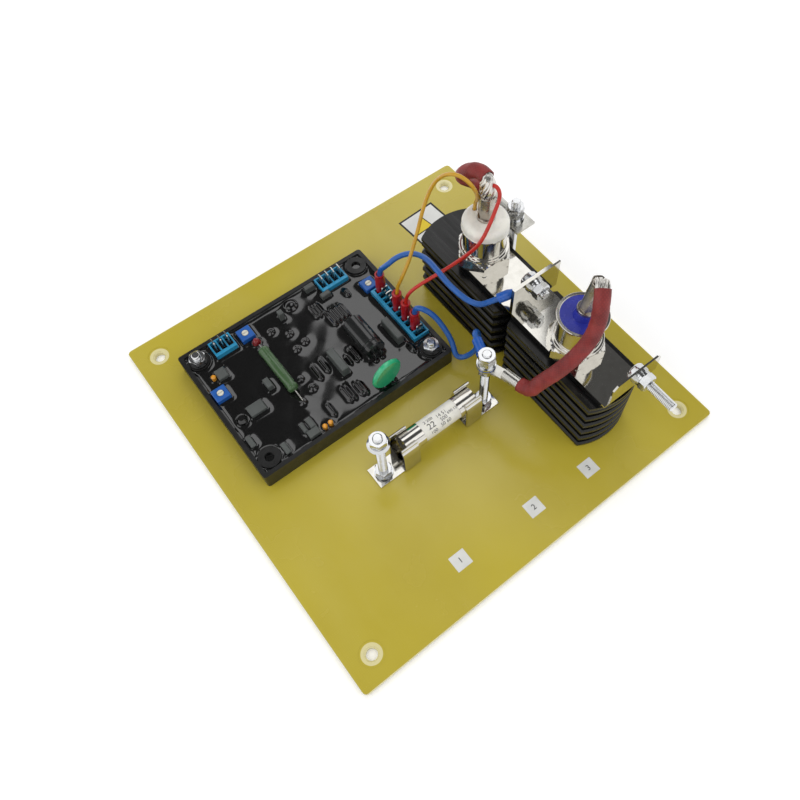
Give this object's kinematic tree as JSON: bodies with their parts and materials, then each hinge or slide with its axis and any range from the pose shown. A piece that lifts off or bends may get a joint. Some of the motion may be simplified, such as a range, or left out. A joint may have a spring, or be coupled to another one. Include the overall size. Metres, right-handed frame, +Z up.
{
  "type": "automatic voltage regulator",
  "caption": "Generator voltage regulator on a square board: potted control module, finned heat sinks with a thyristor and a diode, clip fuse and sleeved leads",
  "frame": {"origin": "centre of the board's underside", "axes": "+Z up from the board, +X from the control module to the heat sinks, +Y from the fuse side to the module side"},
  "size_m": [0.28, 0.28, 0.137],
  "materials": {
    "board": "lacquered laminate",
    "tray": "moulded satin",
    "potting": "cast resin, glossy",
    "circuit_board": "laminate",
    "film_capacitor": "moulded",
    "coated_part": "resin coated",
    "orange_bead": "dipped",
    "black_moulding": "moulded",
    "trimmer_blue": "moulded",
    "rotor_white": "moulded",
    "strip_blue": "moulded",
    "tinned_brass": "tinned",
    "red_sleeve": "soft sleeve",
    "resistor_green": "vitreous",
    "can_black": "sleeved can",
    "varistor_green": "dipped",
    "lamp_red": "clear lens",
    "zinc_steel": "zinc plated",
    "black_fibre": "fibre",
    "sink_black": "black anodised",
    "nickel_plate": "bright nickel",
    "nickel_shell": "bright nickel",
    "white_ceramic": "glazed ceramic",
    "stem_brown": "dull tinned",
    "braid": "tinned braid",
    "seal_blue": "cast resin",
    "terminal_blue": "insulated terminal",
    "tinned_copper": "tinned",
    "wire_blue": "flexible insulation",
    "wire_red": "flexible insulation",
    "wire_yellow": "flexible insulation",
    "sleeving": "varnished woven sleeve"
  },
  "bodies": {
    "regulator": {"base_board": "board", "conductor_plate_front": "nickel_plate", "conductor_plate_rear": "nickel_plate", "control_board": "circuit_board", "diode_base": "nickel_shell", "diode_braid": "braid", "diode_lug": "tinned_copper", "diode_seal": "seal_blue", "diode_sleeve": "sleeving", "diode_stem": "stem_brown", "electrolytic_capacitor": "can_black", "film_capacitors": "film_capacitor", "fuse_body": "white_ceramic", "fuse_caps": "nickel_shell", "fuse_clip_left": "nickel_plate", "fuse_clip_right": "nickel_plate", "fuse_studs": "zinc_steel", "heat_sink_front": "sink_black", "heat_sink_rear": "sink_black", "heat_sink_screws": "zinc_steel", "indicator_lamp": "lamp_red", "joint_bolt": "zinc_steel", "joint_terminal": "terminal_blue", "module_nuts": "zinc_steel", "module_potting": "potting", "module_screws": "zinc_steel", "module_tray": "tray", "module_washers": "black_fibre", "output_bolt": "zinc_steel", "plate_nuts": "zinc_steel", "plate_washers": "zinc_steel", "plug_blades": "tinned_brass", "plug_strip_four_way": "strip_blue", "plug_strip_ten_way": "strip_blue", "plug_strip_three_way": "strip_blue", "potted_components": "coated_part", "power_resistor": "resistor_green", "push_on_receptacles": "red_sleeve", "rear_stud": "zinc_steel", "stud_nuts": "zinc_steel", "stud_terminal": "terminal_blue", "stud_washers": "zinc_steel", "tantalum_capacitors": "orange_bead", "thyristor_base": "nickel_shell", "thyristor_braid": "braid", "thyristor_cap": "white_ceramic", "thyristor_lug": "tinned_copper", "thyristor_sleeve": "sleeving", "thyristor_stem": "stem_brown", "transistor": "black_moulding", "trimmer_bodies": "trimmer_blue", "varistor": "varistor_green", "wire_blue_1": "wire_blue", "wire_blue_2": "wire_blue", "wire_red": "wire_red", "wire_yellow": "wire_yellow"},
    "rotor_1": {"trimmer_rotor_1": "rotor_white"},
    "rotor_2": {"trimmer_rotor_2": "rotor_white"},
    "rotor_3": {"trimmer_rotor_3": "rotor_white"}
  },
  "joints": [
    {"name": "trimmer_1_turn", "type": "hinge", "parent": "regulator", "child": "rotor_1", "pos_m": [-0.0707, 0.0928, 0.0202], "axis": [0, 0, 1], "range_deg": [-135, 135]},
    {"name": "trimmer_2_turn", "type": "hinge", "parent": "regulator", "child": "rotor_2", "pos_m": [-0.1069, 0.0635, 0.0202], "axis": [0, 0, 1], "range_deg": [-135, 135]},
    {"name": "trimmer_3_turn", "type": "hinge", "parent": "regulator", "child": "rotor_3", "pos_m": [0.0179, 0.0749, 0.0202], "axis": [0, 0, 1], "range_deg": [-135, 135]}
  ]
}
